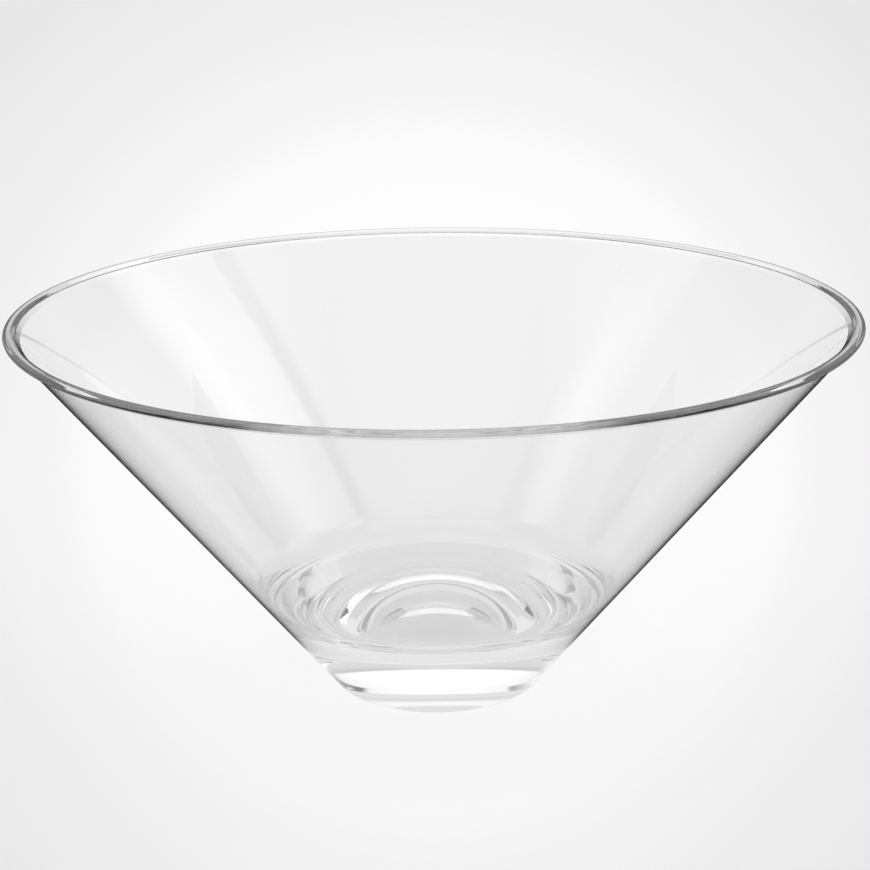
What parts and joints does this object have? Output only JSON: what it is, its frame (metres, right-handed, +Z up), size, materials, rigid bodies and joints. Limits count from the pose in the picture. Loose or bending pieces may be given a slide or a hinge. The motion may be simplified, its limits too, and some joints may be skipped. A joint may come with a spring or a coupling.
{
  "type": "glass serving bowl",
  "caption": "Conical clear glass serving bowl with a solid tapered foot, a thick bottom that is pushed up in the middle over a round hollow, and a rounded bead at the rim.",
  "frame": {"origin": "on the bowl's axis, in the plane of the flat standing ring under the foot", "axes": "+Z up along the bowl's axis, towards the open mouth; X and Y are level, and the bowl is the same all round"},
  "size_m": [0.28, 0.28, 0.1305],
  "materials": {
    "clear_glass": "clear colourless glass, fire-polished and smooth all over"
  },
  "bodies": {
    "root": {"bowl": "clear_glass"}
  },
  "joints": []
}
